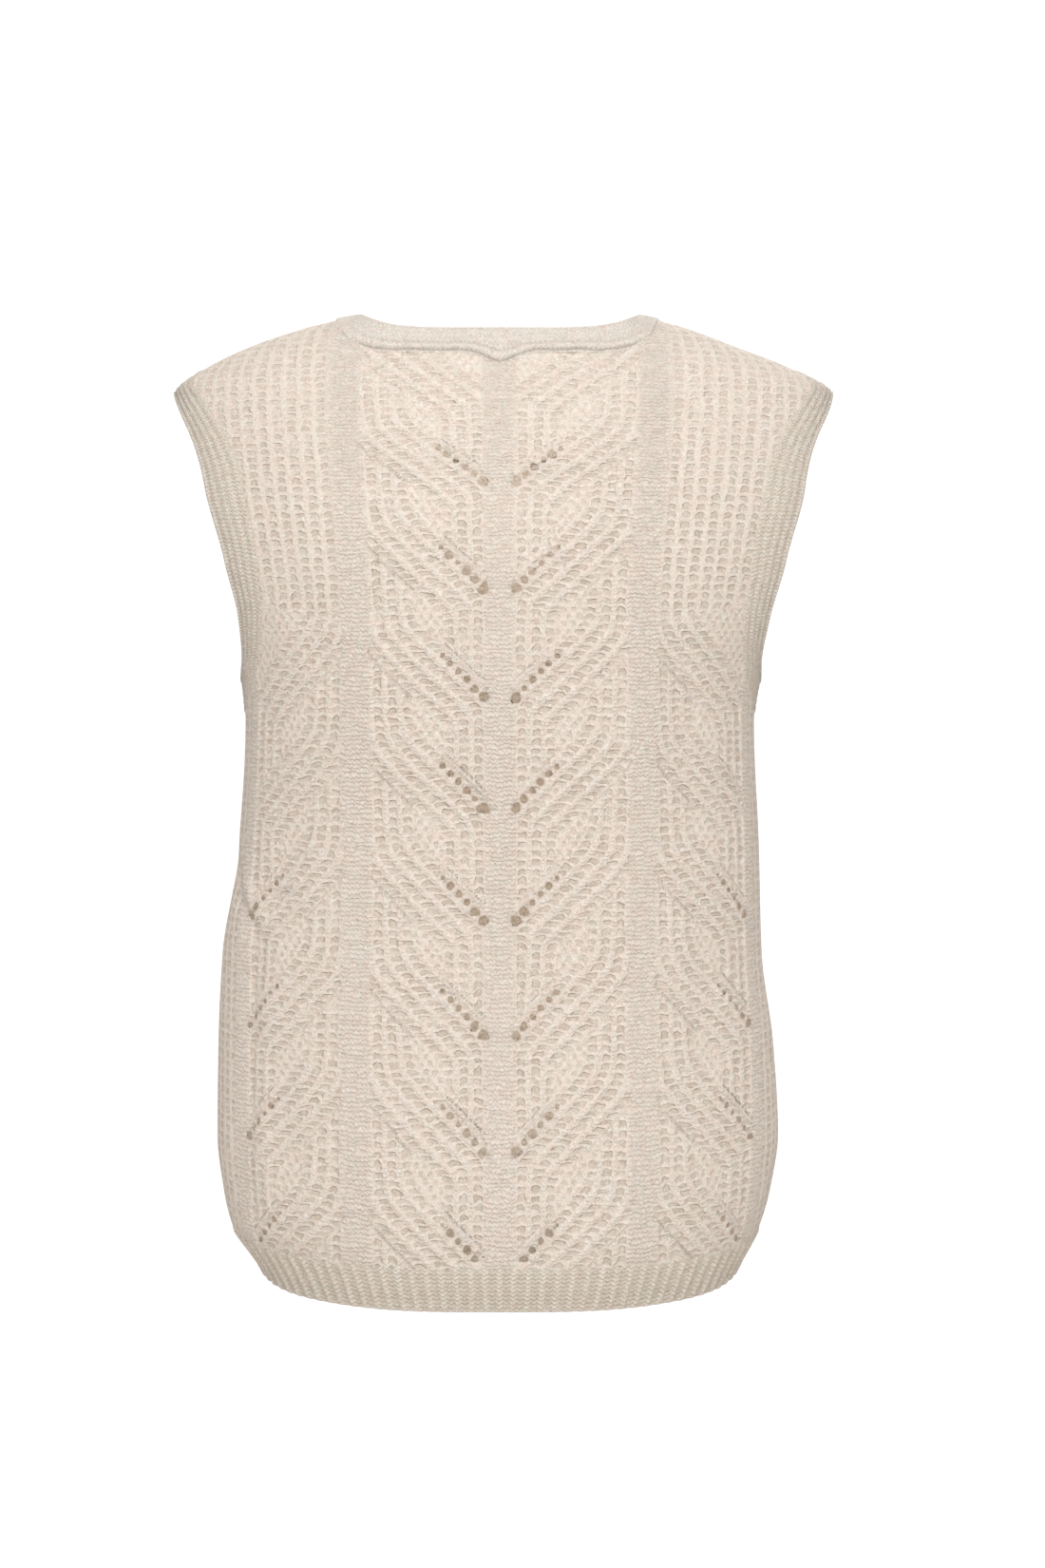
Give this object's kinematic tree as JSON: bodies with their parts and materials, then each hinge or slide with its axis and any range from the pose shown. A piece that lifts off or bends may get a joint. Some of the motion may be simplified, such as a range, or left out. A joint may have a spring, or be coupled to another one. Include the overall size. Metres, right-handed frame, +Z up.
{
  "type": "sweater vest",
  "caption": "Hollow worn-form knitted vest with open neck, armholes and hem, lace ridges between upright purl ladders, and ribbed borders.",
  "frame": {"origin": "midway between the shoulders, level with the points where the neckband meets the shoulder seams, where the wearer's shoulders carry the vest", "axes": "+Z up, +Y towards the front of the vest, +X towards the wearer's right; the pictured back faces -Y"},
  "size_m": [0.4072, 0.2435, 0.6057],
  "materials": {
    "lace_knit": "brushed oatmeal wool lace knit",
    "band_knit": "brushed oatmeal wool band knit"
  },
  "bodies": {
    "root": {"back_panel": "lace_knit", "front_panel": "lace_knit", "neckband": "band_knit"}
  },
  "joints": []
}
